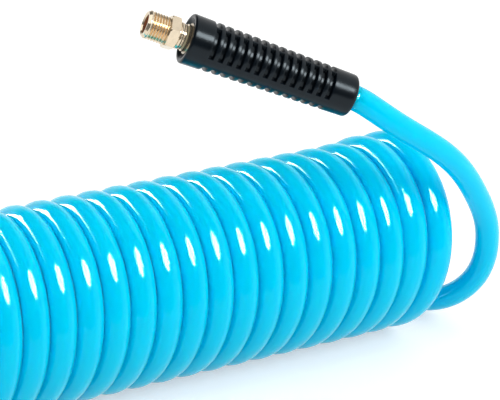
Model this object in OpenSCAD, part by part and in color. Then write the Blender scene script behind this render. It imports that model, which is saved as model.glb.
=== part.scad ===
// Coiled air hose: a close-wound coil with a free tail at each end. Each tail runs into a
// slotted grip sleeve and a brass swivel fitting with a male pipe thread.
// Paths are written in the coil's own frame: X along the coil's axis towards the upright tail,
// with X = 0 at the front of the last loop, Z up, and the axis at Z = 0. Every module then
// moves its piece by `shift`, which puts the origin at the bottom centre of the whole object.

/* [Hose] */
// Outside diameter of the hose
hose_od = 12; // [9:0.5:13]
// Bore of the hose
hose_id = 8; // [7:0.5:8.5]

/* [Coil] */
// Outside diameter of the coil, over the hose
coil_od = 100; // [80:1:120]
// Whole loops in the coil, which also has five eighths of a loop
coil_loops = 23; // [4:1:23]
// Least gap between neighbouring loops, square to them
turn_gap = 0.48; // [0.48:0.02:1.5]
// Angle by which each loop is turned about the vertical
loop_yaw = 10; // [0:1:14]
// Angle by which the top of each loop leans towards the upright tail
loop_lean = 7.5; // [0:0.5:14]
// Extra gap in front of the last loop, where the coil opens to its tail
end_opening = 1; // [0:0.1:4]
// Extra height of the last two loops, which the upright tail pulls up
end_lift = 2.5; // [0:0.1:5]
// Depth of the flat on which the coil rests
rest_flat = 1.2; // [0.9:0.1:1.5]

/* [Grip sleeve] */
// Length of the sleeve
sleeve_len = 83; // [78:1:100]
// Outside diameter at the fitting end
sleeve_fitting_od = 23.3; // [22:0.1:26]
// Outside diameter at the hose end
sleeve_hose_od = 20.1; // [19.5:0.1:22]
// Radius of the outer edge at the fitting end
fitting_edge = 1; // [0.5:0.1:1.5]
// Radius of the outer edge at the hose end
hose_edge = 1.6; // [0.5:0.1:2.5]
// Length of the plain collar at the hose end
hose_collar = 12.6; // [5:0.1:14]
// Slots along the sleeve
slot_count = 14; // [2:1:14]
// Distance from one slot to the next
slot_pitch = 4.46; // [3:0.02:4.6]
// Width of a slot
slot_width = 2.3; // [1:0.1:2.6]
// Depth of a slot
slot_depth = 2.2; // [1:0.1:3]
// Angle of the long slots
long_slot = 78; // [60:1:84]
// Angle of the short slots
short_slot = 70; // [40:1:75]
// Angle of the thin webs between long and short slots
thin_web = 3.5; // [3:0.5:8]
// Diameter of the flared mouth for the hose
mouth_d = 15; // [13.5:0.1:15.5]
// Depth of the flared mouth
mouth_depth = 2.5; // [1:0.1:5]

/* [Ferrule] */
// Length of the crimped ferrule
ferrule_len = 20; // [16:1:24]
// Wall of the ferrule
ferrule_wall = 1.15; // [0.8:0.05:1.4]
// Thickness of the ferrule's end wall
ferrule_end = 1.5; // [1:0.1:2.5]
// Distance of the ferrule inside the sleeve's fitting end
ferrule_recess = 0.8; // [0.3:0.1:1.2]
// Depth of each crimp groove
crimp_depth = 0.35; // [0.1:0.05:0.5]

/* [Stem] */
// Bore of the stem
stem_bore = 5; // [3.5:0.1:5]
// Length of the barbed tail inside the hose
barb_len = 16; // [12:1:18]
// Barbs on the tail
barb_count = 4; // [2:1:5]
// Height of a barb
barb_height = 0.45; // [0.2:0.05:0.45]
// Diameter of the neck through the ferrule
neck_d = 9; // [8.4:0.1:9.4]
// Diameter of the flange
flange_d = 12.6; // [11:0.1:14]
// Thickness of the flange
flange_t = 1.6; // [1:0.1:2.5]
// Diameter of the spigot that the thread body turns on
spigot_d = 8.7; // [8.5:0.1:9.1]
// Length of the spigot
spigot_len = 8.8; // [8.6:0.1:12]

/* [Seals and washer] */
// Thickness of the thrust washer
washer_t = 0.55; // [0.4:0.05:1]
// Outside diameter of the thrust washer
washer_d = 11; // [10:0.1:12]
// Section of the O-ring
o_ring_section = 1.2; // [1:0.05:1.25]
// Distance of the O-ring's middle from the washer's side of the body
o_ring_at = 2; // [1.4:0.1:2.4]
// Wire of the snap ring
snap_wire = 1; // [0.8:0.05:1]
// Distance of the snap ring's middle from the washer's side of the body
snap_at = 5.9; // [5.4:0.1:6.4]
// Opening of the snap ring
snap_open = 30; // [15:1:60]

/* [Thread body] */
// Outside diameter of the thread
thread_d = 13.16; // [12.5:0.01:13.5]
// Length of the thread at its full diameter
thread_len = 9.5; // [8:0.5:14]
// Length of the lead-in chamfer
thread_lead = 1; // [0.5:0.1:1.5]
// Width across the hexagon's flats
hex_af = 14; // [13.5:0.5:17]
// Length of the hexagon
hex_len = 4.4; // [3.5:0.1:8]
// Diameter of the round collar
collar_d = 12.4; // [12:0.1:13.2]
// Length of the round collar
collar_len = 3; // [2.9:0.1:5]
// Depth of the groove between the collar and the hexagon
neck_groove = 0.5; // [0.2:0.05:0.6]
// Width of that groove
neck_groove_w = 0.7; // [0.4:0.1:1]

/* [Fits] */
// Clearance of pieces that turn on each other, on the radius
running = 0.05; // [0.02:0.01:0.08]
// Clearance of pieces that are seated in each other, on the radius
seated = 0.1; // [0.05:0.05:0.2]
// Squeeze of the hose under the ferrule and over the barbs, left out as a clearance
crimp_gap = 0.05; // [0.03:0.01:0.1]

/* [Hidden] */
$fn = 64;

hose_r = hose_od / 2;
coil_r = (coil_od - hose_od) / 2;
loop_slant = asin(sqrt(pow(sin(loop_yaw), 2) + pow(sin(loop_lean), 2)));
helix_slant = atan(hose_od / (2 * PI * coil_r));
coil_pitch = (hose_od + turn_gap) / cos(loop_slant + helix_slant);
straight = hose_od;
rings_per_loop = 24;
coil_sides = 6;
tail_sides = 10;

// Loops are counted by t, which grows towards the upright tail: the coil starts at the bottom
// of its first loop and ends high on the back of its last one.
t_start = -coil_loops - 0.25;
t_end = 0.375;
floor_z = -coil_r * cos(loop_lean) - hose_r + rest_flat;

function eased(x) = let (c = max(0, min(1, x))) c * c * (3 - 2 * c);
function coil_point(t) = let (a = 360 * t) [
    coil_pitch * t + coil_r * (sin(loop_yaw) * cos(a) + sin(loop_lean) * sin(a))
        + end_opening * eased(t + 0.9),
    -coil_r * cos(loop_yaw) * cos(a),
    coil_r * cos(loop_lean) * sin(a) + end_lift * (1 + sin(a)) / 2 * eased((t + 2) / 1.25)];
function unit(v) = v / norm(v);
function coil_way(t) = unit(coil_point(t + 0.001) - coil_point(t - 0.001));

// Rings of the coil: half a step off the lowest point, so that each loop rests on a level facet
ring_ts = concat([t_start],
    [for (t = t_start + 0.5 / rings_per_loop; t < t_end - 0.001; t = t + 1 / rings_per_loop) t],
    [t_end]);
coil_start = coil_point(t_start) - straight * coil_way(t_start);
coil_finish = coil_point(t_end) + straight * coil_way(t_end);
coil_path = concat([coil_start], [for (t = ring_ts) coil_point(t)], [coil_finish]);
coil_ways = concat([coil_way(t_start)], [for (t = ring_ts) coil_way(t)], [coil_way(t_end)]);

// Upright tail: down behind the last loop, under it, up in front and back over the coil
sleeve_a_at = [-41, -41, 100.5];
sleeve_a_heading = 165.5;
sleeve_a_climb = 23.9;
tail_a_points = [[2, 45.5, 12], [2, 48, -4.5], [4.5, 43, -22.5], [9.5, 29, -36.5], [15, 10, -42.5],
    [20.5, -9, -40], [29, -23.5, -32], [37, -33.5, -18], [39.5, -39, 0], [36.5, -41.5, 19.5],
    [27.5, -44.5, 38], [15.5, -47.5, 55.5], [0.5, -49, 70], [-15, -48, 81.5], [-28.5, -45, 92]];
tail_a_path = concat([coil_finish], tail_a_points, [sleeve_a_at]);

// Lying tail: round behind the coil to a sleeve that lies along its own taper
sleeve_b_climb = atan((sleeve_fitting_od - sleeve_hose_od) / 2 / sleeve_len);
sleeve_b_heading = 0;
sleeve_b_at = [-232, 83, floor_z + sleeve_hose_od / 2 * cos(sleeve_b_climb)];
tail_b_points = [[-308, 24, -43], [-309, 37, -43], [-306, 50, -42.5], [-299, 62, -42],
    [-289, 72, -41], [-276, 79, -40], [-262, 82.5, -39], [-247, 83, -38.5]];
tail_b_path = concat([coil_start], tail_b_points, [sleeve_b_at]);

function heading_way(heading, climb) =
    [cos(climb) * cos(heading), cos(climb) * sin(heading), sin(climb)];
function tail_ways(path, first, last) = [for (i = [0:len(path) - 1])
    i == 0 ? first : i == len(path) - 1 ? last
    : unit(unit(path[i + 1] - path[i]) + unit(path[i] - path[i - 1]))];

// Distance from a point to a stretch of the path, and the coil's least gap to itself
function stretch_distance(p, a, b) =
    let (s = max(0, min(1, (p - a) * (b - a) / ((b - a) * (b - a))))) norm(p - a - s * (b - a));
least_gap = min([for (i = [0:len(coil_path) - 1])
    for (j = [i + rings_per_loop - 8:1:min(i + rings_per_loop + 8, len(coil_path) - 2)])
        stretch_distance(coil_path[i], coil_path[j], coil_path[j + 1])]) - hose_od;
echo(coil_least_gap_mm = least_gap);

// The whole object's bounds in the coil's frame give the origin at its bottom centre
span_x = [min([for (p = coil_path) p[0]]) - hose_r, max([for (p = tail_a_path) p[0]]) + hose_r];
span_y = [min([for (p = concat(coil_path, tail_a_path)) p[1]]) - hose_r,
    sleeve_b_at[1] + sleeve_fitting_od / 2];
shift = [-(span_x[0] + span_x[1]) / 2, -(span_y[0] + span_y[1]) / 2, -floor_z];

// Places along a sleeve's own axis, from its hose end towards the thread
ferrule_top = sleeve_len - ferrule_recess;
ferrule_bottom = ferrule_top - ferrule_len;
hose_top = ferrule_top - ferrule_end;
flange_top = ferrule_top + flange_t;
body_at = flange_top + washer_t + running;
o_ring_z = body_at + o_ring_at;
snap_z = body_at + snap_at;
spigot_top = flange_top + spigot_len;
hex_at = body_at + collar_len + neck_groove_w;
thread_at = hex_at + hex_len;
body_top = thread_at + thread_len + thread_lead;

ferrule_r = hose_r + crimp_gap + ferrule_wall;
pocket_r = ferrule_r + seated;
neck_r = neck_d / 2;
spigot_r = spigot_d / 2;
body_bore_r = spigot_r + running;
barb_r = hose_id / 2 - crimp_gap;
barb_root_r = barb_r - barb_height;

// O-ring and snap ring: the O-ring is squeezed into its groove, the snap ring bridges both
o_ring_r = spigot_r - o_ring_section / 2;
o_ring_root_r = spigot_r - o_ring_section - running;
snap_r = spigot_r - 0.15 * snap_wire;
groove_slack = 0.15;

// Frame of a hose section: the first axis is carried along the path without twist
function carried(u, way) = unit(u - (u * way) * way);
function carried_axes(ways, first) = [for (i = 0, u = carried(first, ways[0]); i < len(ways);
    i = i + 1, u = carried(u, ways[min(i, len(ways) - 1)])) u];

// A tube with flat-sided rings along a path, cut flat where it meets the floor
module tube(path, ways, axes, sides) {
    function above_floor(p) = [p[0], p[1], max(p[2], floor_z)];
    rings = len(path);
    points = [for (i = [0:rings - 1]) for (k = [0:sides - 1])
        let (a = 360 * k / sides)
        above_floor(path[i] + hose_r * (cos(a) * axes[i] + sin(a) * cross(ways[i], axes[i])))];
    side_faces = [for (i = [0:rings - 2]) for (k = [0:sides - 1])
        let (a = i * sides + k, b = i * sides + (k + 1) % sides)
        each [[a, a + sides, b], [b, a + sides, b + sides]]];
    first_cap = [for (k = [1:sides - 2]) [0, k, k + 1]];
    last = (rings - 1) * sides;
    last_cap = [for (k = [1:sides - 2]) [last, last + k + 1, last + k]];
    polyhedron(concat([for (p = points) p + shift]), concat(side_faces, first_cap, last_cap));
}

module coil() {
    color("deepskyblue")
    tube(coil_path, coil_ways, [for (w = coil_ways) carried([1, 0, 0], w)], coil_sides);
}

module tail_a() {
    ways = tail_ways(tail_a_path, coil_way(t_end), heading_way(sleeve_a_heading, sleeve_a_climb));
    color("deepskyblue") tube(tail_a_path, ways, carried_axes(ways, [1, 0, 0]), tail_sides);
}

module tail_b() {
    ways = tail_ways(tail_b_path, -coil_way(t_start), heading_way(sleeve_b_heading, sleeve_b_climb));
    color("deepskyblue") tube(tail_b_path, ways, carried_axes(ways, [0, 0, 1]), tail_sides);
}

// The two ends of the hose carry the same pieces, stacked along local Z
module at_end_a() {
    translate(shift + sleeve_a_at) rotate([0, 90 - sleeve_a_climb, sleeve_a_heading]) children();
}

module at_end_b() {
    translate(shift + sleeve_b_at) rotate([0, 90 - sleeve_b_climb, sleeve_b_heading]) children();
}

// A turned piece: points are [radius, height]
module turned(points) {
    rotate_extrude() polygon(points);
}

function arc(centre, r, from, to, steps = 5) =
    [for (i = [0:steps]) let (a = from + (to - from) * i / steps) centre + r * [cos(a), sin(a)]];

module hose_end() {
    color("deepskyblue")
    difference() {
        cylinder(h = hose_top, r = hose_r);
        translate([0, 0, -1]) cylinder(h = hose_top + 2, r = hose_id / 2);
    }
}

// Slots run in rings: a long, a thin web, a short and a wide web, twice round
module slot_ring(z, outer_r) {
    wide_web = 180 - long_slot - thin_web - short_slot;
    first_slot = 79.5;
    for (half = [0, 180]) {
        for (slot = [[0, long_slot], [long_slot + thin_web, short_slot]]) {
            rotate([0, 0, first_slot + half + slot[0]])
            rotate_extrude(angle = slot[1])
            translate([outer_r - slot_depth, z])
            square([slot_depth + 2, slot_width]);
        }
    }
    assert(wide_web > 0);
}

module sleeve() {
    r_hose = sleeve_hose_od / 2;
    r_fitting = sleeve_fitting_od / 2;
    bore_r = hose_r + seated;
    pocket_z = ferrule_bottom - seated;
    function outer_at(z) = r_hose + (r_fitting - r_hose) * z / sleeve_len;
    color([0.08, 0.08, 0.09])
    difference() {
        turned(concat(
            [[bore_r, mouth_depth], [mouth_d / 2, 0]],
            arc([r_hose - hose_edge, hose_edge], hose_edge, -90, 0),
            arc([r_fitting - fitting_edge, sleeve_len - fitting_edge], fitting_edge, 0, 90),
            [[pocket_r, sleeve_len], [pocket_r, pocket_z], [bore_r, pocket_z]]));
        for (i = [0:slot_count - 1]) {
            z = hose_collar + i * slot_pitch;
            slot_ring(z, outer_at(z));
        }
    }
}

module ferrule() {
    crimps = 3;
    crimp_w = 1.6;
    color([0.86, 0.76, 0.52])
    difference() {
        translate([0, 0, ferrule_bottom]) cylinder(h = ferrule_len, r = ferrule_r);
        translate([0, 0, ferrule_bottom - 1])
        cylinder(h = ferrule_len - ferrule_end + 1, r = hose_r + crimp_gap);
        translate([0, 0, ferrule_bottom]) cylinder(h = ferrule_len + 1, r = neck_r + seated);
        for (i = [1:crimps]) {
            translate([0, 0, ferrule_bottom + i * ferrule_len / (crimps + 1) - crimp_w / 2])
            rotate_extrude() translate([ferrule_r - crimp_depth, 0]) square([2, crimp_w]);
        }
    }
}

// Barbed tail, neck, flange and grooved spigot in one turned piece
module stem() {
    barb_pitch = barb_len / barb_count;
    tip = hose_top - barb_len;
    barbs = [for (i = [0:barb_count - 1]) for (p = [[barb_root_r, 0], [barb_r, barb_pitch * 0.8],
        [barb_root_r, barb_pitch * 0.8]]) [p[0], tip + i * barb_pitch + p[1]]];
    o_half = o_ring_section / 2 + running;
    snap_half = snap_wire / 2 + running;
    snap_root_r = snap_r - snap_wire / 2 - running;
    spigot_chamfer = 0.3;
    color([0.88, 0.79, 0.56])
    turned(concat([[stem_bore / 2, tip]], barbs,
        [[barb_root_r, hose_top], [neck_r, hose_top], [neck_r, ferrule_top],
        [flange_d / 2, ferrule_top], [flange_d / 2, flange_top], [spigot_r, flange_top],
        [spigot_r, o_ring_z - o_half], [o_ring_root_r, o_ring_z - o_half],
        [o_ring_root_r, o_ring_z + o_half], [spigot_r, o_ring_z + o_half],
        [spigot_r, snap_z - snap_half], [snap_root_r, snap_z - snap_half],
        [snap_root_r, snap_z + snap_half], [spigot_r, snap_z + snap_half],
        [spigot_r, spigot_top - spigot_chamfer], [spigot_r - spigot_chamfer, spigot_top],
        [stem_bore / 2, spigot_top]]));
}

module o_ring() {
    color([0.1, 0.1, 0.1])
    translate([0, 0, o_ring_z])
    rotate_extrude() translate([o_ring_r, 0]) circle(d = o_ring_section, $fn = 32);
}

module snap_ring() {
    color([0.6, 0.6, 0.62])
    translate([0, 0, snap_z])
    rotate([0, 0, snap_open / 2])
    rotate_extrude(angle = 360 - snap_open)
    translate([snap_r, 0])
    circle(d = snap_wire, $fn = 32);
}

module thrust_washer() {
    color([0.92, 0.92, 0.88])
    translate([0, 0, flange_top])
    difference() {
        cylinder(h = washer_t, d = washer_d);
        translate([0, 0, -1]) cylinder(h = washer_t + 2, r = spigot_r + seated);
    }
}

module thread_body() {
    thread_r = thread_d / 2;
    lead_r = thread_r - 0.7 * thread_lead;
    corner_r = hex_af / 2 / cos(30);
    hex_chamfer = 0.5;
    color([0.9, 0.81, 0.58])
    difference() {
        union() {
            turned([[0, body_at], [collar_d / 2, body_at], [collar_d / 2, body_at + collar_len],
                [collar_d / 2 - neck_groove, body_at + collar_len],
                [collar_d / 2 - neck_groove, hex_at], [0, hex_at]]);
            intersection() {
                translate([0, 0, hex_at]) cylinder(h = hex_len, r = corner_r, $fn = 6);
                turned([[0, hex_at], [corner_r - hex_chamfer, hex_at],
                    [corner_r + 1, hex_at + hex_chamfer + 1],
                    [corner_r + 1, thread_at - hex_chamfer - 1],
                    [corner_r - hex_chamfer, thread_at], [0, thread_at]]);
            }
            translate([0, 0, thread_at]) cylinder(h = thread_len, r = thread_r);
            translate([0, 0, thread_at + thread_len])
            cylinder(h = thread_lead, r1 = thread_r, r2 = lead_r);
        }
        translate([0, 0, body_at - 1]) cylinder(h = body_top - body_at + 2, r = body_bore_r);
        translate([0, 0, snap_z - snap_wire / 2 - groove_slack])
        cylinder(h = snap_wire + 2 * groove_slack, r = snap_r + snap_wire / 2 + groove_slack);
    }
}

coil();
tail_a();
tail_b();
at_end_a() hose_end();  // hose_end_a
at_end_b() hose_end();  // hose_end_b
at_end_a() sleeve();  // sleeve_a
at_end_b() sleeve();  // sleeve_b
at_end_a() ferrule();  // ferrule_a
at_end_b() ferrule();  // ferrule_b
at_end_a() stem();  // stem_a
at_end_b() stem();  // stem_b
at_end_a() o_ring();  // o_ring_a
at_end_b() o_ring();  // o_ring_b
at_end_a() snap_ring();  // snap_ring_a
at_end_b() snap_ring();  // snap_ring_b
at_end_a() thrust_washer();  // thrust_washer_a
at_end_b() thrust_washer();  // thrust_washer_b
at_end_a() thread_body();  // thread_body_a
at_end_b() thread_body();  // thread_body_b
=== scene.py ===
"""Coiled air hose: a blue coil, a slotted rubber grip and a brass swivel fitting at each end.

Every size is in metres. The hose, the grips and the fittings are surfaces worked out on grids
of points, and each is placed where the frame holds its plain solid.
"""

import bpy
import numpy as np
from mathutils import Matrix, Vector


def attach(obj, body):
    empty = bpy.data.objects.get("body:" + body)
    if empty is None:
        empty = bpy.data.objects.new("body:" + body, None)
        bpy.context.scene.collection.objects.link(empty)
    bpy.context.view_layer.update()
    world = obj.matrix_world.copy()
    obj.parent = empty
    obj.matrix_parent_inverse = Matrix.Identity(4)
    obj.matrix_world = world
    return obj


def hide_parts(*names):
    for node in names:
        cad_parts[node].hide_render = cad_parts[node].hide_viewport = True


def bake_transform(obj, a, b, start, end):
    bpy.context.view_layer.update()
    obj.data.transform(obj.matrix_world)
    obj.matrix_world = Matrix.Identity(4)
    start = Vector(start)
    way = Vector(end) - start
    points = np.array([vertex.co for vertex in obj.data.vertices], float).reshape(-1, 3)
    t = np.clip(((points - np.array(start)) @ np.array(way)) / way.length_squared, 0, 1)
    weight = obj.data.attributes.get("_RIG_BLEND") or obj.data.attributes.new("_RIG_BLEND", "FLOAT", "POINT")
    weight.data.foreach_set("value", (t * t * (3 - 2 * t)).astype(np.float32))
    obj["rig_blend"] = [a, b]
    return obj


bl_info = {
    "name": "Coiled Air Hose",
    "version": (1, 0, 0),
    "blender": (4, 5, 0),
    "location": "3D View > Sidebar > Air Hose",
    "description": "Builds a coiled air hose with grips and swivel fittings around its frame",
    "category": "Add Mesh",
}

import bpy
import numpy as np
from bpy.props import FloatProperty, FloatVectorProperty, IntProperty, PointerProperty
from mathutils import Matrix

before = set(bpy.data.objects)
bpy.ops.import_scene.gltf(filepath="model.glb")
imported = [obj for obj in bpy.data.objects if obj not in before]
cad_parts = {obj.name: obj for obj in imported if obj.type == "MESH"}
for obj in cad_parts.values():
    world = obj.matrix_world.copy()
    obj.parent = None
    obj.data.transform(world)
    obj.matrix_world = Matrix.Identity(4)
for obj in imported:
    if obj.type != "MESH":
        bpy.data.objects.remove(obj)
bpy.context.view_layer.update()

# The coil's own frame has X along its axis and Z up, with the axis at Z = 0.
COIL_TO_ROW = np.array([0.134652, -0.019825, 0.0484236])

# Where each sleeve starts, in the coil's frame, with its heading and climb in degrees
SLEEVE_A_AT = (-0.041, -0.041, 0.1005)
SLEEVE_A_WAY = (165.5, 23.9)
SLEEVE_B_AT = (-0.232, 0.083, -0.0383754)
SLEEVE_B_WAY = (0.0, 1.10436)

TAIL_A_POINTS = [
    (0.002, 0.0455, 0.012), (0.002, 0.048, -0.0045), (0.0045, 0.043, -0.0225),
    (0.0095, 0.029, -0.0365), (0.015, 0.010, -0.0425), (0.0205, -0.009, -0.040),
    (0.029, -0.0235, -0.032), (0.037, -0.0335, -0.018), (0.0395, -0.039, 0.0),
    (0.0365, -0.0415, 0.0195), (0.0275, -0.0445, 0.038), (0.0155, -0.0475, 0.0555),
    (0.0005, -0.049, 0.070), (-0.015, -0.048, 0.0815), (-0.0285, -0.045, 0.092),
]
TAIL_B_POINTS = [
    (-0.308, 0.024, -0.043), (-0.309, 0.037, -0.043), (-0.306, 0.050, -0.0425),
    (-0.299, 0.062, -0.042), (-0.289, 0.072, -0.041), (-0.276, 0.079, -0.040),
    (-0.262, 0.0825, -0.039), (-0.247, 0.083, -0.0385),
]

# The coil line's t counts loops. It starts this much below minus the number of whole loops and
# ends this much past 0.
COIL_BEFORE, COIL_PAST = 0.25, 0.375
PART_LOOP = COIL_BEFORE + COIL_PAST

# Rings of points along the hose, points round it, and rings over which its first axis turns
LOOP_RINGS, PART_LOOP_RINGS = 60, 39
TAIL_A_RINGS, TAIL_B_RINGS = 110, 66
HOSE_SIDES = 28
TURNING_RINGS = 40

# The stage: half the floor's width, the camera's place in the coil's frame, the point that
# every lamp faces, and how bright a glossy surface sees the dim part of the room
FLOOR_HALF = 1.3
CAMERA_AT = (-0.374908, -0.689595, 0.423064)
LAMPS_FACE = (0.03, -0.05, 0.07)
DIM_ROOM = 0.08

# The main lamp's place and width, and each shine panel's name, place, width, height and shape
# with the collection that it lights. A panel's power is the stage's setting of the same name.
KEY_AT, KEY_WIDTH = (0.68, -1.06, 1.0), 0.7
SHINE_PANELS = (
    ("grip_shine", (0.56, -0.88, 0.84), 0.44, 0.44, "ELLIPSE", "grip_shine"),
    ("crown_shine", (-0.34, -0.02, 0.97), 1.3, 0.9, "ELLIPSE", "brass_shine"),
    ("thread_shine", (0.12, -0.92, 0.38), 0.6, 0.4, "ELLIPSE", "brass_shine"),
    ("front_shine", (0.0, -0.24, 0.34), 0.27, 0.195, "ELLIPSE", "hose_shine"),
    ("side_shine", (-0.665, 0.42, 0.195), 0.78, 0.52, "RECTANGLE", "hose_shine"),
)


# ---------------------------------------------------------------- sizes and colours


def length(name, description, default):
    """A size in metres."""
    return FloatProperty(name=name, description=description, default=default, precision=5,
                         min=0.0, unit="LENGTH", subtype="DISTANCE")


def angle(name, description, degrees):
    """An angle, given here in degrees."""
    return FloatProperty(name=name, description=description, default=np.radians(degrees),
                         unit="ROTATION", subtype="ANGLE")


def colour(name, description, default):
    """A linear colour."""
    return FloatVectorProperty(name=name, description=description, default=default, size=3,
                               min=0.0, max=1.0, subtype="COLOR")


class HoseSizes(bpy.types.PropertyGroup):
    """Sizes of the hose and its coil."""

    diameter: length("Hose diameter", "Outside diameter of the hose", 0.012)
    coil_radius: length("Coil radius", "Radius of the hose's middle line in a loop", 0.044)
    turn_gap: length("Gap between loops", "Least gap between neighbouring loops", 0.00048)
    loops: IntProperty(name="Loops", description="Whole loops in the coil", default=23, min=2)
    yaw: angle("Yaw of the loops", "Turn of each loop about the vertical", 10)
    lean: angle("Lean of the loops", "Lean of each loop's top towards the upright tail", 7.5)
    opening: length("Opening", "Extra gap in front of the last loop", 0.001)
    lift: length("Lift", "Extra height of the last two loops", 0.0025)
    sag: length("Give at rest", "Length over which a loop gives where it lies", 0.0012)
    flat: length("Flat", "Depth of the patch on which a loop rests", 0.00025)
    widening: length("Widening", "Extra half-width of the hose where it is wound", 0.0002)
    last_widening: length("Last loop's widening", "More half-width in the last loop", 0.0003)


class SleeveSizes(bpy.types.PropertyGroup):
    """Sizes of the slotted grip sleeve."""

    length: length("Length", "Length of the sleeve", 0.083)
    hose_radius: length("Hose-end radius", "Outside radius at the hose end", 0.01005)
    fitting_radius: length("Fitting-end radius", "Outside radius at the fitting end", 0.01165)
    hose_edge: length("Hose-end edge", "Radius of the edge at the hose end", 0.0016)
    fitting_edge: length("Fitting-end edge", "Radius of the edge at the fitting end", 0.001)
    collar: length("Collar", "Plain length at the hose end", 0.0126)
    slots: IntProperty(name="Slots", description="Rings of slots", default=14, min=1)
    slot_pitch: length("Slot pitch", "Distance from one slot to the next", 0.00446)
    slot_width: length("Slot width", "Width of a slot", 0.0023)
    slot_depth: length("Slot depth", "Depth of a slot", 0.0022)
    bore_radius: length("Bore radius", "Radius of the bore round the hose", 0.0061)
    mouth_radius: length("Mouth radius", "Radius of the flared mouth", 0.0075)
    mouth_depth: length("Mouth depth", "Depth of the flared mouth", 0.0025)
    pocket_radius: length("Pocket radius", "Radius of the pocket round the ferrule", 0.0073)
    pocket_start: length("Pocket start", "Where the pocket starts", 0.0621)
    lip: length("Lip", "Width of the flat lip at the fitting end", 0.0008)
    dish: length("Dish", "Depth of the dished face inside the lip", 0.0022)


class FittingSizes(bpy.types.PropertyGroup):
    """Sizes of the swivel fitting, with places measured from the sleeve's hose end."""

    bottom: length("Bottom", "Where the thread body starts", 0.0844)
    collar_radius: length("Collar radius", "Radius of the round collar", 0.0062)
    ring_bottom: length("Ring bottom", "Where the collar's raised ring starts", 0.0857)
    collar_top: length("Collar top", "Where the collar ends", 0.0874)
    groove_radius: length("Groove radius", "Radius in the groove under the hexagon", 0.0057)
    hex_bottom: length("Hexagon bottom", "Where the hexagon starts", 0.0881)
    hex_top: length("Hexagon top", "Where the hexagon ends", 0.0925)
    hex_flat: length("Hexagon", "Distance from the axis to a flat", 0.007)
    thread_radius: length("Thread radius", "Radius over the thread's crests", 0.00658)
    thread_depth: length("Thread depth", "Depth of the thread", 0.00078)
    thread_lead: length("Thread lead", "Plain length in front of the thread", 0.0014)
    thread_pitch: length("Thread pitch", "Distance from crest to crest", 0.001337)
    thread_top: length("Thread top", "Where the full thread ends", 0.102)
    top: length("Top", "Where the thread body ends", 0.103)
    bore_radius: length("Bore radius", "Radius of the thread body's bore", 0.0044)


class Finishes(bpy.types.PropertyGroup):
    """Colours of the finishes."""

    hose: colour("Hose", "Blue of the hose", (0.0, 0.61, 0.90))
    hose_deep: colour("Hose, deeper", "Deeper blue of the hose's slow changes", (0.0, 0.58, 0.88))
    rubber: colour("Grip rubber", "Black of the grips", (0.0015, 0.003, 0.005))
    brass: colour("Brass", "Pale brass of the fittings", (0.78, 0.66, 0.49))
    # Painted shade: a golden tint laid into the thread's valleys in place of the shade between the crests.
    brass_valley_shade: colour("Brass, deep", "Golden brass of the thread's valleys",
                       (0.80, 0.58, 0.34))
    # Painted shade: a darker, duller copper for the inside of the bore, standing in for the shade there.
    brass_bore_shade: colour("Brass, bore", "Dull copper shade of the bore", (0.50, 0.17, 0.07))
    seal: colour("Seal rubber", "Black of the O-rings", (0.01, 0.01, 0.01))
    steel: colour("Spring steel", "Grey of the snap rings", (0.50, 0.50, 0.52))
    washer: colour("Washer", "Uncoloured plastic of the thrust washers",
                   (0.50, 0.45, 0.30))


class StageSettings(bpy.types.PropertyGroup):
    """Camera and lights."""

    lens: FloatProperty(name="Lens", description="Focal length of the camera", default=0.124,
                        precision=4, unit="CAMERA")
    heading: angle("Heading", "Camera's heading, from +Y towards +X", 23.597)
    dip: angle("Dip", "How far the camera looks down", 27.349)
    key: FloatProperty(name="Key light", description="Power of the main soft light", default=7.0,
                       min=0.0, unit="POWER")
    grip_shine: FloatProperty(name="Grip shine", default=9.0, min=0.0, unit="POWER",
                              description="Power of the panel whose gloss shows on the grips")
    crown_shine: FloatProperty(name="Crown shine", default=4.4, min=0.0, unit="POWER",
                               description="Power of the panel above the fittings")
    thread_shine: FloatProperty(name="Thread shine", default=0.5, min=0.0, unit="POWER",
                                description="Power of the panel in front of the fittings")
    front_shine: FloatProperty(name="Front shine", default=15.0, min=0.0, unit="POWER",
                               description="Power of the panel whose gloss shows on the hose")
    side_shine: FloatProperty(name="Side shine", default=54.0, min=0.0, unit="POWER",
                              description="Power of the panel behind the left side")
    world: FloatProperty(name="Room light", description="Strength of the even room light",
                         default=0.9, min=0.0)
    floor_glow: FloatProperty(name="Floor glow", default=0.45, min=0.0,
                              description="Light that the floor adds where it is looked at")


# ---------------------------------------------------------------- meshes


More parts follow.
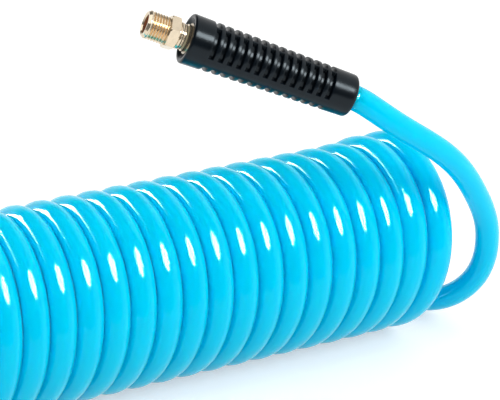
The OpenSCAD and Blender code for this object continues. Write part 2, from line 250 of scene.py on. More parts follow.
def grid_mesh(name, points, uv=None, close_rows=False, cap_ends=False):
    """A mesh from a grid of points: rows run along the piece and columns go round it, so the
    last column joins the first. With close_rows the last row joins the first too, and with
    cap_ends a fan with a middle point closes each end. uv gives each grid point's two numbers,
    and one more column than points holds those of the seam."""
    rows, cols = points.shape[:2]
    verts = points.reshape(-1, 3)
    i = np.arange(rows if close_rows else rows - 1)[:, None]
    j = np.arange(cols)[None, :]
    i2, j2 = (i + 1) % rows, (j + 1) % cols
    quads = np.stack([i * cols + j, i * cols + j2, i2 * cols + j2, i2 * cols + j], -1)
    quads = quads.reshape(-1, 4)
    loops, starts = quads.ravel(), np.arange(len(quads)) * 4
    if cap_ends:
        first, last = len(verts), len(verts) + 1
        verts = np.vstack([verts, points[0].mean(0), points[-1].mean(0)])
        k = np.arange(cols)
        k2 = (k + 1) % cols
        end = (rows - 1) * cols
        fans = np.vstack([np.stack([k2, k, np.full(cols, first)], -1),
                          np.stack([end + k, end + k2, np.full(cols, last)], -1)])
        starts = np.concatenate([starts, len(loops) + np.arange(len(fans)) * 3])
        loops = np.concatenate([loops, fans.ravel()])
    mesh = bpy.data.meshes.new(name)
    mesh.vertices.add(len(verts))
    mesh.vertices.foreach_set("co", verts.astype(np.float32).ravel())
    mesh.loops.add(len(loops))
    mesh.loops.foreach_set("vertex_index", loops.astype(np.int32))
    mesh.polygons.add(len(starts))
    mesh.polygons.foreach_set("loop_start", starts.astype(np.int32))
    mesh.update(calc_edges=True)
    if uv is not None:
        corners = np.stack([uv[i, j], uv[i, j + 1], uv[i + 1, j + 1], uv[i + 1, j]], -2)
        flat = np.zeros((len(loops), 2), np.float32)
        flat[: corners.size // 2] = corners.reshape(-1, 2)
        mesh.uv_layers.new(name="UVMap").data.foreach_set("uv", flat.ravel())
    mesh.shade_smooth()
    mesh.validate()
    return mesh


def add_piece(name, mesh, material):
    """An object at the origin with one material."""
    piece = bpy.data.objects.new(name, mesh)
    bpy.context.scene.collection.objects.link(piece)
    mesh.materials.append(material)
    return piece


def axis_matrix(at, way):
    """Where a sleeve stands: Z turned by 90 degrees less its climb towards +X, then by its
    heading about the vertical, and moved to its start."""
    heading, climb = np.radians(way)
    turn = Matrix.Rotation(heading, 4, "Z") @ Matrix.Rotation(np.pi / 2 - climb, 4, "Y")
    return Matrix.Translation(COIL_TO_ROW + np.array(at)) @ turn


def placed(points, matrix):
    """Points moved by a 4 by 4 matrix."""
    m = np.array(matrix)
    return points @ m[:3, :3].T + m[:3, 3]


# ---------------------------------------------------------------- the hose's line


def eased(x):
    """0 below 0, 1 above 1, and a smooth step between."""
    x = np.clip(x, 0, 1)
    return x * x * (3 - 2 * x)


def coil_line(t, s):
    """A circle swept along X, one loop for each whole t. The circle is turned about the
    vertical by the yaw and leaned by the lean, its pitch is the hose with its gap over the
    slant's cosine, the last loop opens by the opening and the last two rise by the lift."""
    opens_from, rises_from, rises_over = -0.9, -2, 1.25
    slant = np.arcsin(np.hypot(np.sin(s.yaw), np.sin(s.lean)))
    helix = np.arctan(s.diameter / (2 * np.pi * s.coil_radius))
    pitch = (s.diameter + s.turn_gap) / np.cos(slant + helix)
    a = 2 * np.pi * t
    x = (pitch * t + s.opening * eased(t - opens_from)
         + s.coil_radius * (np.sin(s.yaw) * np.cos(a) + np.sin(s.lean) * np.sin(a)))
    y = -s.coil_radius * np.cos(s.yaw) * np.cos(a)
    z = (s.coil_radius * np.cos(s.lean) * np.sin(a)
         + s.lift * (1 + np.sin(a)) / 2 * eased((t - rises_from) / rises_over))
    return np.stack([x, y, z], -1)


def spline(points, first_way, last_way, count):
    """A smooth curve through the points: cubic pieces over the chord lengths, with matching
    slope and bend where they meet and the given unit directions at the two ends."""
    p = np.asarray(points, float)
    h = np.linalg.norm(np.diff(p, axis=0), axis=1)
    n = len(p)
    m = np.zeros((n, n))
    rhs = np.zeros((n, 3))
    m[0, 0] = m[-1, -1] = 1
    rhs[0], rhs[-1] = first_way, last_way
    k = np.arange(1, n - 1)
    m[k, k - 1], m[k, k], m[k, k + 1] = h[1:], 2 * (h[:-1] + h[1:]), h[:-1]
    step = np.diff(p, axis=0) / h[:, None]
    rhs[k] = 3 * (h[1:, None] * step[:-1] + h[:-1, None] * step[1:])
    slope = np.linalg.solve(m, rhs)
    knots = np.concatenate([[0], np.cumsum(h)])
    at = np.linspace(0, knots[-1], count)
    i = np.clip(np.searchsorted(knots, at, side="right") - 1, 0, n - 2)
    u = ((at - knots[i]) / h[i])[:, None]
    hi = h[i][:, None]
    return ((2 * u**3 - 3 * u**2 + 1) * p[i] + (u**3 - 2 * u**2 + u) * hi * slope[i]
            + (3 * u**2 - 2 * u**3) * p[i + 1] + (u**3 - u**2) * hi * slope[i + 1])


def unit(v):
    """Each vector at length one."""
    return v / np.linalg.norm(v, axis=-1, keepdims=True)


def sleeve_way(way):
    """Unit direction of a heading and climb in degrees."""
    h, c = np.radians(way)
    return np.array([np.cos(c) * np.cos(h), np.cos(c) * np.sin(h), np.sin(c)])


def hose_line(s):
    """The hose's middle line from sleeve B round its tail, along the coil and up the other
    tail to sleeve A, in the row frame, with how far each point is stretched: 0 on tail B,
    rising evenly along the coil to 1 on tail A. Where it would lie lower than its own radius
    it is lifted, through a root curve that eases in over the give."""
    t = np.linspace(-s.loops - COIL_BEFORE, COIL_PAST, LOOP_RINGS * s.loops + PART_LOOP_RINGS)
    step = 1e-4
    coil = coil_line(t, s)
    ends = coil_line(np.array([t[0], t[0] + step, t[-1] - step, t[-1]]), s)
    start_way, end_way = unit(ends[1] - ends[0]), unit(ends[3] - ends[2])
    tail_b = spline([SLEEVE_B_AT, *TAIL_B_POINTS[::-1], coil[0]],
                    -sleeve_way(SLEEVE_B_WAY), start_way, TAIL_B_RINGS)
    tail_a = spline([coil[-1], *TAIL_A_POINTS, SLEEVE_A_AT],
                    end_way, sleeve_way(SLEEVE_A_WAY), TAIL_A_RINGS)
    line = np.vstack([tail_b[:-1], coil, tail_a[1:]]) + COIL_TO_ROW
    share = np.concatenate([np.zeros(len(tail_b) - 1), np.linspace(0, 1, len(coil)),
                            np.ones(len(tail_a) - 1)])
    rest = s.diameter / 2 - s.flat
    low = line[:, 2] - rest
    line[:, 2] = rest + (low + np.sqrt(low * low + s.sag**2)) / 2
    return line, share


def hose_tube(line, share, s):
    """A tube along the line. Each ring is an ellipse square to the line: its first axis is +X
    as far as that is square to the line, turning over to +Z on the lying tail. Where the hose
    is wound the first axis is longer by the widening and the second shorter by half of it. The
    widening fades at both ends of the coil, and the last loop has its own on top."""
    fade, last_from, last_over = 0.4, 1.7, 0.3
    way = unit(np.gradient(line, axis=0))
    over = eased((TAIL_B_RINGS - np.arange(len(line)))[:, None] / TURNING_RINGS)
    first = (1 - over) * np.array([1.0, 0, 0]) + over * np.array([0, 0, 1.0])
    first = unit(first - (first * way).sum(1, keepdims=True) * way)
    second = np.cross(way, first)
    loop = share * (s.loops + PART_LOOP)
    left = s.loops + PART_LOOP - loop
    wound = eased(loop / fade) * eased(left / fade)
    last = eased((last_from - left) / last_over) * eased(left / fade)
    wider = (wound * s.widening + last * s.last_widening)[:, None, None]
    a = np.linspace(0, 2 * np.pi, HOSE_SIDES, endpoint=False)[None, :, None]
    radius = s.diameter / 2
    ring = ((radius + wider) * np.cos(a) * first[:, None]
            + (radius - wider / 2) * np.sin(a) * second[:, None])
    return line[:, None] + ring


# ---------------------------------------------------------------- finishes


def finish_material(name):
    """An empty node material with its shader."""
    material = bpy.data.materials.new(name)
    material.use_nodes = True
    tree = material.node_tree
    return material, tree, tree.nodes["Principled BSDF"]


def add_node(tree, kind, inputs=(), **settings):
    """A node with its settings, and its inputs given by name or number as a value or a socket."""
    node = tree.nodes.new(kind)
    for key, value in settings.items():
        setattr(node, key, value)
    for key, value in dict(inputs).items():
        if isinstance(value, bpy.types.NodeSocket):
            tree.links.new(value, node.inputs[key])
        else:
            node.inputs[key].default_value = value
    return node


def noise(tree, vector, scale, detail=3.0, roughness=0.5):
    """Smooth noise from 0 to 1 at a vector."""
    return add_node(tree, "ShaderNodeTexNoise", {"Vector": vector, "Scale": scale,
                    "Detail": detail, "Roughness": roughness}).outputs["Fac"]


def ranged(tree, value, low, high, to_low, to_high):
    """A value carried from one range to another, kept inside it."""
    return add_node(tree, "ShaderNodeMapRange", {0: value, 1: low, 2: high, 3: to_low,
                    4: to_high}).outputs[0]


def mixed(tree, factor, a, b):
    """A colour between two."""
    node = add_node(tree, "ShaderNodeMix", data_type="RGBA")
    for socket, value in zip((node.inputs[0], node.inputs[6], node.inputs[7]), (factor, a, b)):
        if isinstance(value, bpy.types.NodeSocket):
            tree.links.new(value, socket)
        else:
            socket.default_value = value
    return node.outputs[2]


def bumped(tree, height, strength, distance):
    """The surface's direction with fine relief."""
    return add_node(tree, "ShaderNodeBump", {"Height": height, "Strength": strength,
                    "Distance": distance}).outputs[0]


def rgba(c, gain=1.0):
    """A colour with full cover."""
    return (c[0] * gain, c[1] * gain, c[2] * gain, 1.0)


def hose_finish(name, colours):
    """Glossy blue plastic that light goes into: slow changes of blue, light scuffs, a faint
    ripple and a pale rim."""
    material, tree, shader = finish_material(name)
    place = add_node(tree, "ShaderNodeTexCoord").outputs["Object"]
    slow = noise(tree, place, 18.0, 2.0)
    shader.inputs["IOR"].default_value = 1.5
    base = mixed(tree, slow, rgba(colours.hose), rgba(colours.hose_deep))
    tree.links.new(base, shader.inputs["Base Color"])
    scuff = noise(tree, place, 900.0, 5.0, 0.6)
    rough = ranged(tree, scuff, 0.3, 0.8, 0.04, 0.08)
    tree.links.new(rough, shader.inputs["Roughness"])
    ripple = noise(tree, place, 160.0, 2.0)
    tree.links.new(bumped(tree, ripple, 0.004, 0.0004), shader.inputs["Normal"])
    for socket, value in {"Subsurface Weight": 1.0, "Subsurface Radius": (0.3, 0.8, 1.0),
                          "Subsurface Scale": 0.014, "Specular IOR Level": 0.3,
                          "Specular Tint": (0.3, 1.0, 1.0, 1.0), "Sheen Weight": 0.8,
                          "Sheen Roughness": 0.15, "Sheen Tint": (0.25, 0.95, 1.0, 1.0)}.items():
        shader.inputs[socket].default_value = value
    return material


def rubber_finish(name, colours):
    """Semi-matt moulded rubber: fine grain, soft sheen, a dusty bloom, rubbed edges and a bluish specular
    tint that is a painted reflection of the blue hose.
    """
    material, tree, shader = finish_material(name)
    place = add_node(tree, "ShaderNodeTexCoord").outputs["Object"]
    grain = noise(tree, place, 2600.0, 4.0, 0.6)
    bloom = noise(tree, place, 120.0, 4.0, 0.55)
    wear = add_node(tree, "ShaderNodeNewGeometry").outputs["Pointiness"]
    edge = ranged(tree, wear, 0.52, 0.60, 0.0, 1.0)
    dusty = mixed(tree, ranged(tree, bloom, 0.35, 0.75, 0.0, 1.0), rgba(colours.rubber),
                  rgba(colours.rubber, 1.9))
    tree.links.new(mixed(tree, edge, dusty, rgba(colours.rubber, 3.0)),
                   shader.inputs["Base Color"])
    tree.links.new(ranged(tree, bloom, 0.2, 0.8, 0.2, 0.28), shader.inputs["Roughness"])
    # Painted reflection: the bluish specular tint stands in for the blue hose mirrored in the rubber.
    shader.inputs["Specular Tint"].default_value = (0.8, 0.93, 1.0, 1.0)
    shader.inputs["Specular IOR Level"].default_value = 0.27
    tree.links.new(bumped(tree, grain, 0.1, 0.00015), shader.inputs["Normal"])
    shader.inputs["IOR"].default_value = 1.5
    return material


def brass_finish(name, colours, gain=1.0, rough=0.1):
    """Bright turned brass: fine grain, faint tarnish, painted shade as a golden tint in the thread's
    valleys where the second number of the piece's own map is near 1, and painted shade in the
    bore as a duller, less metallic copper where it is 2."""
    material, tree, shader = finish_material(name)
    maps = add_node(tree, "ShaderNodeTexCoord").outputs
    place = maps["Object"]
    painted_shade = add_node(tree, "ShaderNodeSeparateXYZ", {0: maps["UV"]}).outputs["Y"]
    tarnish = noise(tree, place, 260.0, 4.0, 0.6)
    fine = noise(tree, place, 3200.0, 3.0, 0.6)
    # Painted shade: the bore turns less metallic, so that it reads darker.
    tree.links.new(ranged(tree, painted_shade, 1.1, 1.7, 0.88, 0.25), shader.inputs["Metallic"])
    plain = mixed(tree, ranged(tree, tarnish, 0.35, 0.75, 0.0, 1.0),
                  rgba(colours.brass, gain), rgba(colours.brass, gain * 0.86))
    # Painted shade: the thread's valleys take the golden tint.
    valley_shaded = mixed(tree, ranged(tree, painted_shade, 0.2, 0.9, 0.0, 1.0), plain,
                   rgba(colours.brass_valley_shade, gain))
    # Painted shade inside the bore: the dull copper colour.
    tree.links.new(mixed(tree, ranged(tree, painted_shade, 1.1, 1.7, 0.0, 1.0), valley_shaded,
                         rgba(colours.brass_bore_shade, gain)), shader.inputs["Base Color"])
    tree.links.new(ranged(tree, tarnish, 0.2, 0.8, rough, rough + 0.08),
                   shader.inputs["Roughness"])
    tree.links.new(bumped(tree, fine, 0.12, 0.0001), shader.inputs["Normal"])
    return material


def plain_finish(name, tint, metal, rough, grain_scale, grain):
    """A small hidden piece's finish: fine grain and a little change of shade."""
    material, tree, shader = finish_material(name)
    place = add_node(tree, "ShaderNodeTexCoord").outputs["Object"]
    fine = noise(tree, place, grain_scale, 3.0, 0.6)
    tree.links.new(mixed(tree, fine, rgba(tint, 0.85), rgba(tint, 1.1)),
                   shader.inputs["Base Color"])
    shader.inputs["Metallic"].default_value = metal
    tree.links.new(ranged(tree, fine, 0.2, 0.8, rough, rough + 0.1), shader.inputs["Roughness"])
    tree.links.new(bumped(tree, fine, grain, 0.0001), shader.inputs["Normal"])
    return material


def material_of(maker, name, *args):
    """A finish made once and used again. Its name is none of the frame's own."""
    return bpy.data.materials.get(name) or maker(name, *args)


def shone_on(name):
    """The collection of the pieces that a shine panel lights."""
    return bpy.data.collections.get(name) or bpy.data.collections.new(name)


def dress(node, material):
    """Gives a node of the frame its finish."""
    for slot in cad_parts[node].material_slots:
        slot.material = material


# ---------------------------------------------------------------- operators


class AIRHOSE_OT_stage(bpy.types.Operator):
    """Makes the camera, the pale floor and the soft lights"""

    bl_idname = "air_hose.stage"
    bl_label = "Stage"

    def execute(self, context):
        s = context.scene.air_hose_stage
        scene = context.scene
        a, e = s.heading, s.dip
        cam = bpy.data.cameras.new("camera")
        cam.sensor_width = 36
        cam.lens = s.lens * 1000
        cam.clip_start, cam.clip_end = 0.01, 50
        camera = bpy.data.objects.new("camera", cam)
        scene.collection.objects.link(camera)
        right = np.array([np.cos(a), -np.sin(a), 0])
        ahead = np.array([np.sin(a) * np.cos(e), np.cos(a) * np.cos(e), -np.sin(e)])
        up = np.cross(right, ahead)
        m = np.eye(4)
        m[:3, 0], m[:3, 1], m[:3, 2] = right, up, -ahead
        m[:3, 3] = COIL_TO_ROW + CAMERA_AT
        camera.matrix_world = Matrix(m.tolist())
        scene.camera = camera
        self.floor(s)
        self.world(scene, s)
        key = self.light("key", KEY_AT, KEY_WIDTH, KEY_WIDTH, "ELLIPSE", s.key)
        key.visible_glossy = False
        for name, at, width, height, shape, lit in SHINE_PANELS:
            lamp = self.light(name, at, width, height, shape, getattr(s, name))
            lamp.visible_diffuse = lamp.visible_camera = False
            lamp.light_linking.receiver_collection = shone_on(lit)
        scene.view_settings.view_transform = "Standard"
        return {"FINISHED"}

    def floor(self, s):
        """A wide flat floor that shows white where it is looked at and keeps its shadow."""
        corners = [(FLOOR_HALF * x, FLOOR_HALF * y, 0)
                   for x, y in ((-1, -1), (1, -1), (1, 1), (-1, 1))]
        mesh = bpy.data.meshes.new("floor")
        mesh.from_pydata(corners, [], [(0, 1, 2, 3)])
        material, tree, shader = finish_material("floor_white")
        place = add_node(tree, "ShaderNodeTexCoord").outputs["Object"]
        soft = noise(tree, place, 3.0, 2.0)
        tree.links.new(mixed(tree, soft, (0.7, 0.7, 0.7, 1), (0.72, 0.72, 0.72, 1)),
                       shader.inputs["Base Color"])
        shader.inputs["Roughness"].default_value = 1.0
        shader.inputs["Specular IOR Level"].default_value = 0.0
        shader.inputs["Emission Color"].default_value = (1, 1, 1, 1)
        tree.links.new(ranged(tree, self.looked_at(tree)[0], 0.0, 1.0, 0.0, s.floor_glow),
                       shader.inputs["Emission Strength"])
        add_piece("floor", mesh, material)

    def looked_at(self, tree):
        """1 for what the camera or a glossy or clear surface sees, and 1 without the camera."""
        path = add_node(tree, "ShaderNodeLightPath").outputs
        mirrored = add_node(tree, "ShaderNodeMath", {0: path["Is Glossy Ray"],
                            1: path["Is Transmission Ray"]}, operation="MAXIMUM").outputs[0]
        seen = add_node(tree, "ShaderNodeMath", {0: path["Is Camera Ray"], 1: mirrored},
                        operation="MAXIMUM").outputs[0]
        return seen, mirrored

    def world(self, scene, s):
        """Even room light; past the floor the camera sees white, and glossy surfaces see white
        on the right and low down behind the object, and a dim room elsewhere."""
        world = bpy.data.worlds.new("room")
        scene.world = world
        world.use_nodes = True
        tree = world.node_tree
        back = tree.nodes["Background"]
        seen, mirrored = self.looked_at(tree)
        way = add_node(tree, "ShaderNodeTexCoord").outputs["Generated"]
        parts = add_node(tree, "ShaderNodeSeparateXYZ", {0: way}).outputs
        low = ranged(tree, parts["Z"], 0.15, 0.4, 1.0, DIM_ROOM)
        behind = ranged(tree, parts["Y"], -0.3, 0.3, DIM_ROOM, 1.0)
        far = add_node(tree, "ShaderNodeMath", {0: low, 1: behind},
                       operation="MINIMUM").outputs[0]
        right = ranged(tree, parts["X"], 0.25, 0.55, 0.0, 1.0)
        room = add_node(tree, "ShaderNodeMath", {0: far, 1: right},
                        operation="MAXIMUM").outputs[0]
        shown = ranged(tree, mirrored, 0.0, 1.0, 1.0, room)
        tree.links.new(ranged(tree, seen, 0.0, 1.0, s.world, shown), back.inputs["Strength"])
        back.inputs["Color"].default_value = (1, 1, 1, 1)

    def light(self, name, at, width, height, shape, power):
        """An area lamp at a place, turned to the point that every lamp faces."""
        data = bpy.data.lights.new(name, "AREA")
        data.shape = shape
        data.size, data.size_y = width, height
        data.energy = power
        lamp = bpy.data.objects.new(name, data)
        bpy.context.scene.collection.objects.link(lamp)
        back = unit(np.array(at) - LAMPS_FACE)
        right = unit(np.cross([0, 0, 1.0], back))
        m = np.eye(4)
        m[:3, 0], m[:3, 1], m[:3, 2], m[:3, 3] = right, np.cross(back, right), back, at
        lamp.matrix_world = Matrix(m.tolist())
        return lamp


class AIRHOSE_OT_hose(bpy.types.Operator):
    """Makes the hose with its coil and both tails, as one tube"""

    bl_idname = "air_hose.hose"
    bl_label = "Hose"

    def execute(self, context):
        s = context.scene.air_hose_hose
        line, share = hose_line(s)
        tube = hose_tube(line, share, s)
        along = np.concatenate([[0], np.cumsum(np.linalg.norm(np.diff(line, axis=0), axis=1))])
        around = np.linspace(0, 1, HOSE_SIDES + 1)
        uv = np.stack(np.broadcast_arrays(along[:, None], around[None, :]), -1)
        mesh = grid_mesh("hose", tube, uv, cap_ends=True)
        finish = material_of(hose_finish, "hose_blue", context.scene.air_hose_finishes)
        hose = add_piece("hose", mesh, finish)
        shone_on("hose_shine").objects.link(hose)
        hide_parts("coil", "tail_a", "tail_b")
        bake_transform(hose, "hose_base", "free_end", start=tuple(line[0]), end=tuple(line[-1]))
        # Each ring moves as a whole, so the hose keeps its section while the coil opens.
        weights = np.concatenate([np.repeat(share, HOSE_SIDES), [0.0, 1.0]]).astype(np.float32)
        mesh.attributes["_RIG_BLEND"].data.foreach_set("value", weights)
        for node in ("hose_end_a", "hose_end_b"):
            dress(node, finish)
        return {"FINISHED"}


class AIRHOSE_OT_grips(bpy.types.Operator):
    """Makes the two slotted rubber grips"""

    bl_idname = "air_hose.grips"
    bl_label = "Grips"

    def execute(self, context):
        s = context.scene.air_hose_sleeve
        finish = material_of(rubber_finish, "grip_rubber", context.scene.air_hose_finishes)
        for side, at, way, body in (("a", SLEEVE_A_AT, SLEEVE_A_WAY, "free_end"),
                                    ("b", SLEEVE_B_AT, SLEEVE_B_WAY, "hose_base")):
            points = placed(self.surface(s), axis_matrix(at, way))
            mesh = grid_mesh("grip_" + side, points, close_rows=True)
            mesh.set_sharp_from_angle(angle=np.radians(50))
            grip = add_piece("grip_" + side, mesh, finish)
            shone_on("grip_shine").objects.link(grip)
            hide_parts("sleeve_" + side)
            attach(grip, body)
        return {"FINISHED"}

    def surface(self, s):
        """A tapered sleeve as one closed profile carried round the axis: out along the flared
        mouth, round the hose-end edge, along the outside, round the fitting-end edge and back
        through the ferrule's pocket and the bore. On the outside the radius drops into each
        slot by its depth times one curve across the slot and another round the ring."""
        columns = self.columns()
        # Across a slot's edge: how far in each point lies, and its share of the slot's depth
        across = np.array([-0.35, -0.18, -0.06, 0.0, 0.03, 0.10, 0.30, 0.60]) * 1e-3
        drop = np.array([0.0, 0.02, 0.075, 0.17, 0.45, 0.90, 0.985, 1.0])
        z, depth = [], []
        for i in range(s.slots):
            start = s.collar + i * s.slot_pitch
            z += [start + across, start + s.slot_width - across[::-1]]
            depth += [drop, drop[::-1]]
        z, depth = np.concatenate(z), np.concatenate(depth) * s.slot_depth
        low_rows, high_rows, hose_edge_rows, fitting_edge_rows = 8, 10, 7, 6
        low = np.linspace(s.hose_edge, z[0], low_rows)[:-1]
        high = np.linspace(z[-1], s.length - s.fitting_edge, high_rows)[1:]
        z = np.concatenate([low, z, high])
        depth = np.concatenate([0 * low, depth, 0 * high])
        outside = s.hose_radius + (s.fitting_radius - s.hose_radius) * z / s.length
        q = np.radians(np.linspace(-90, 0, hose_edge_rows))[:-1]
        first_edge = np.stack([s.hose_radius - s.hose_edge + s.hose_edge * np.cos(q),
                               s.hose_edge + s.hose_edge * np.sin(q)], -1)
        q = np.radians(np.linspace(0, 90, fitting_edge_rows))[1:]
        last_edge = np.stack([s.fitting_radius - s.fitting_edge + s.fitting_edge * np.cos(q),
                              s.length - s.fitting_edge + s.fitting_edge * np.sin(q)], -1)
        # The flared mouth, and the lip, dish, pocket and bore, each with its corners broken
        mouth = np.array([[s.bore_radius, s.mouth_depth + 0.0006],
                          [s.bore_radius + 0.00008, s.mouth_depth],
                          [s.mouth_radius - 0.00015, 0.0003], [s.mouth_radius + 0.0001, 0.00004]])
        end, lip, wall = s.length, s.fitting_radius - s.fitting_edge - s.lip, s.pocket_radius
        inside = np.array([[lip, end], [lip - 0.0001, end - 0.00004],
                           [lip - 0.0002, end - 0.00014], [wall + 0.0003, end - s.dish + 0.0002],
                           [wall + 0.0001, end - s.dish], [wall, end - s.dish - 0.0003],
                           [wall, s.pocket_start], [s.bore_radius, s.pocket_start]])
        profile = np.vstack([mouth, first_edge, np.stack([outside, z], -1), last_edge, inside])
        cut = np.zeros(len(profile))
        cut[len(mouth) + len(first_edge):][: len(z)] = depth
        radius = profile[:, :1] - cut[:, None] * self.round_curve(columns)[None, :]
        a = columns[None, :]
        return np.stack([radius * np.cos(a), radius * np.sin(a), profile[:, 1:] + 0 * a], -1)

    def slot_angles(self):
        """Start and end of each slot round the ring: a long, a thin web, a short and a wide
        web, twice."""
        first, long, web, short = 79.5, 78.0, 3.5, 70.0
        spans = [(0, long), (long + web, long + web + short)]
        return np.radians([(first + h + a, first + h + b) for h in (0, 180) for a, b in spans])

    def columns(self):
        """Angles round the ring, close together at each slot's ends."""
        widest = np.radians(3.5)
        ease = np.radians([-1.6, -0.8, -0.2, 0.3, 0.9, 1.8])
        near = [edge + sign * ease for pair in self.slot_angles()
                for edge, sign in zip(pair, (1, -1))]
        near = np.sort(np.concatenate(near) % (2 * np.pi))
        gaps = np.diff(np.append(near, near[0] + 2 * np.pi))
        fill = [start + gap * np.arange(1, n) / n for start, gap in zip(near, gaps)
                if (n := int(np.ceil(gap / widest))) > 1]
        return np.sort(np.concatenate([near, *fill]) % (2 * np.pi))

    def round_curve(self, columns):
        """1 inside a slot and 0 on a web, with a steep smooth step at each end."""
        inside = np.zeros(len(columns))
        step = np.radians(1.6)
        for start, end in self.slot_angles():
            x = (columns - start) % (2 * np.pi)
            width = end - start
            inside = np.maximum(inside, np.where(x < width, eased(x / step)
                                                 * eased((width - x) / step), 0))
        return inside


class AIRHOSE_OT_fittings(bpy.types.Operator):
    """Makes the brass thread bodies and finishes the pieces under them"""

    bl_idname = "air_hose.fittings"
    bl_label = "Fittings"

    def execute(self, context):
        s = context.scene.air_hose_fitting
        c = context.scene.air_hose_finishes
        body_brass = material_of(brass_finish, "turned_brass", c)
        # Painted shade: the ferrule's brass is a darker copy, at 0.7 of the brass, for the shade it sits in
        # inside the grip's pocket.
        ferrule_brass_shaded = material_of(brass_finish, "pressed_brass", c, 0.7, 0.2)
        stem_brass = material_of(brass_finish, "barbed_brass", c, 0.96, 0.14)
        seal = material_of(plain_finish, "seal_black", c.seal, 0.0, 0.4, 3000.0, 0.2)
        steel = material_of(plain_finish, "spring_wire", c.steel, 1.0, 0.25, 4000.0, 0.1)
        washer = material_of(plain_finish, "washer_white", c.washer, 0.0, 0.35, 2500.0, 0.1)
        for side, at, way in (("a", SLEEVE_A_AT, SLEEVE_A_WAY), ("b", SLEEVE_B_AT, SLEEVE_B_WAY)):
            points, maps = self.surface(s)
            points = placed(points, axis_matrix(at, way))
            mesh = grid_mesh("fitting_" + side, points, maps, close_rows=True)
            mesh.set_sharp_from_angle(angle=np.radians(38))
            piece = add_piece("fitting_" + side, mesh, body_brass)
            shone_on("grip_shine").objects.link(piece)
            shone_on("brass_shine").objects.link(piece)
            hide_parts("thread_body_" + side)
            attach(piece, "swivel_" + side)
            dress("ferrule_" + side, ferrule_brass_shaded)
            dress("stem_" + side, stem_brass)
            dress("o_ring_" + side, seal)
            dress("snap_ring_" + side, steel)
            dress("thrust_washer_" + side, washer)
        return {"FINISHED"}

    def surface(self, s):
        """One closed profile carried round the axis: collar, groove, hexagon, thread and bore.
        In the hexagon the radius is the distance to the nearest flat, cut by a cone at both
        faces. In the thread it falls from the crest by the thread's depth times a rounded
        triangle wave of height over pitch less turn, which fades at both ends, and the crest
        tapers over the last part. The map's second number is that wave on the thread, 2 in
        the bore and 0 elsewhere, and it sets where the finish paints shade: into the thread's
        valleys and the bore."""
        columns, hex_rows, thread_rows, bore_rows = 132, 15, 150, 8
        a = np.linspace(0, 2 * np.pi, columns, endpoint=False)[None, :]
        e = 0.00015  # the step of every small broken edge
        base = [(s.bore_radius, s.bottom + e), (s.bore_radius + e, s.bottom),
                (s.groove_radius, s.bottom), (s.groove_radius + e, s.bottom + 2 * e),
                (s.groove_radius + e, s.ring_bottom - 4 * e),
                (s.groove_radius - e, s.ring_bottom - 3 * e),
                (s.groove_radius - e, s.ring_bottom), (s.collar_radius - 2 * e, s.ring_bottom),
                (s.collar_radius, s.ring_bottom + 3 * e), (s.collar_radius, s.collar_top - 3 * e),
                (s.collar_radius - 2 * e, s.collar_top),
                (s.groove_radius, s.collar_top), (s.groove_radius, s.hex_bottom)]
        hex_z = np.linspace(0, 1, hex_rows) * (s.hex_top - s.hex_bottom) + s.hex_bottom
        thread_z = np.linspace(s.hex_top, s.top, thread_rows)
        crown = [(s.thread_radius - 0.0011, s.top), (s.bore_radius + 4 * e, s.top),
                 (s.bore_radius, s.top - 4 * e)]
        bore = [(s.bore_radius, z)
                for z in np.linspace(s.top - 0.003, s.bottom + 0.001, bore_rows)]
        base, crown, bore = np.array(base), np.array(crown), np.array(bore)

        flat = s.hex_flat / np.cos(a % (np.pi / 3) - np.pi / 6)
        corner = s.hex_flat / np.cos(np.pi / 6)
        edge = np.minimum(hex_z - s.hex_bottom, s.hex_top - hex_z)[:, None]
        cone_cut, cone_slope = 0.0005, 1.2
        cone = corner - cone_cut + edge * cone_slope
        hexagon = np.minimum(flat, cone)

        z = thread_z[:, None]
        phase = ((z - s.hex_top) / s.thread_pitch - a / (2 * np.pi)) % 1
        wave = np.clip(1.15 * (1 - np.abs(2 * phase - 1)) - 0.075, 0, 1)
        wave = eased(wave) * 0.35 + wave * 0.65
        past_hex = z - s.hex_top
        fade = eased((past_hex - 0.0004) / 0.0009)
        fade = fade * eased((s.top - s.thread_lead - z) / 0.0008)
        wave = wave * fade
        taper_from, taper_cut = s.thread_top - 0.0002, 0.0009
        taper = np.clip((z - taper_from) / (s.top - taper_from), 0, 1)
        thread = s.thread_radius - taper_cut * taper - s.thread_depth * wave * (1 - 0.55 * taper)
        relief = 0.8 * s.thread_depth * (1 - eased((past_hex - 0.0002) / 0.0007))
        thread = np.minimum(thread, s.thread_radius - relief)

        radius = np.vstack([base[:, :1] + 0 * a, hexagon, thread, crown[:, :1] + 0 * a,
                            bore[:, :1] + 0 * a])
        height = np.concatenate([base[:, 1], hex_z, thread_z, crown[:, 1], bore[:, 1]])[:, None]
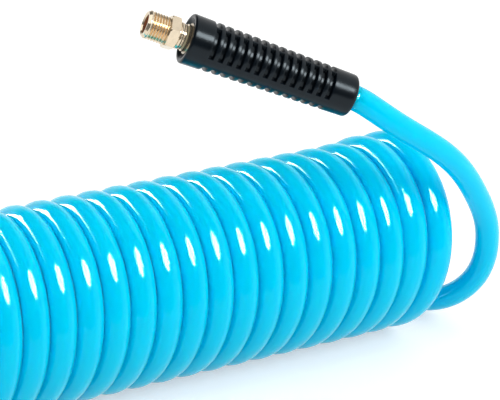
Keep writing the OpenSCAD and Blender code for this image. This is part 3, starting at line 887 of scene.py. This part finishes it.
        # The map's second number marks where shade is painted: the thread's valleys and the bore.
        painted_shade = np.vstack([0 * base[:, :1] + 0 * a, 0 * hexagon, wave,
                          0 * crown[:, :1] + 0 * a, 0 * bore[:, :1] + 2 + 0 * a])
        maps = np.stack(np.broadcast_arrays(height, painted_shade), -1)
        maps = np.concatenate([maps, maps[:, :1]], 1)
        maps = np.concatenate([maps, maps[:1]])
        return np.stack([radius * np.cos(a), radius * np.sin(a), height + 0 * a], -1), maps


class AIRHOSE_PT_panel(bpy.types.Panel):
    """The air hose's operators and sizes"""

    bl_label = "Air Hose"
    bl_idname = "AIRHOSE_PT_panel"
    bl_space_type = "VIEW_3D"
    bl_region_type = "UI"
    bl_category = "Air Hose"

    def draw(self, context):
        layout = self.layout
        for group, operator, title in PANEL_ROWS:
            box = layout.box()
            box.label(text=title)
            settings = getattr(context.scene, group)
            for prop in settings.bl_rna.properties:
                if prop.identifier not in ("rna_type", "name"):
                    box.prop(settings, prop.identifier)
            if operator:
                box.operator(operator)


PANEL_ROWS = (
    ("air_hose_stage", "air_hose.stage", "Stage"),
    ("air_hose_finishes", "", "Finishes"),
    ("air_hose_hose", "air_hose.hose", "Hose"),
    ("air_hose_sleeve", "air_hose.grips", "Grips"),
    ("air_hose_fitting", "air_hose.fittings", "Fittings"),
)
GROUPS = {
    "air_hose_stage": StageSettings,
    "air_hose_finishes": Finishes,
    "air_hose_hose": HoseSizes,
    "air_hose_sleeve": SleeveSizes,
    "air_hose_fitting": FittingSizes,
}
CLASSES = (*GROUPS.values(), AIRHOSE_OT_stage, AIRHOSE_OT_hose, AIRHOSE_OT_grips,
           AIRHOSE_OT_fittings, AIRHOSE_PT_panel)


def register():
    """Adds the classes and the scene's settings."""
    for cls in CLASSES:
        bpy.utils.register_class(cls)
    for name, group in GROUPS.items():
        setattr(bpy.types.Scene, name, PointerProperty(type=group))


def unregister():
    """Removes the scene's settings and the classes."""
    for name in GROUPS:
        delattr(bpy.types.Scene, name)
    for cls in reversed(CLASSES):
        bpy.utils.unregister_class(cls)


def main():
    """Builds everything in order."""
    register()
    bpy.ops.air_hose.stage()
    bpy.ops.air_hose.hose()
    bpy.ops.air_hose.grips()
    bpy.ops.air_hose.fittings()


if __name__ == "__main__":
    main()
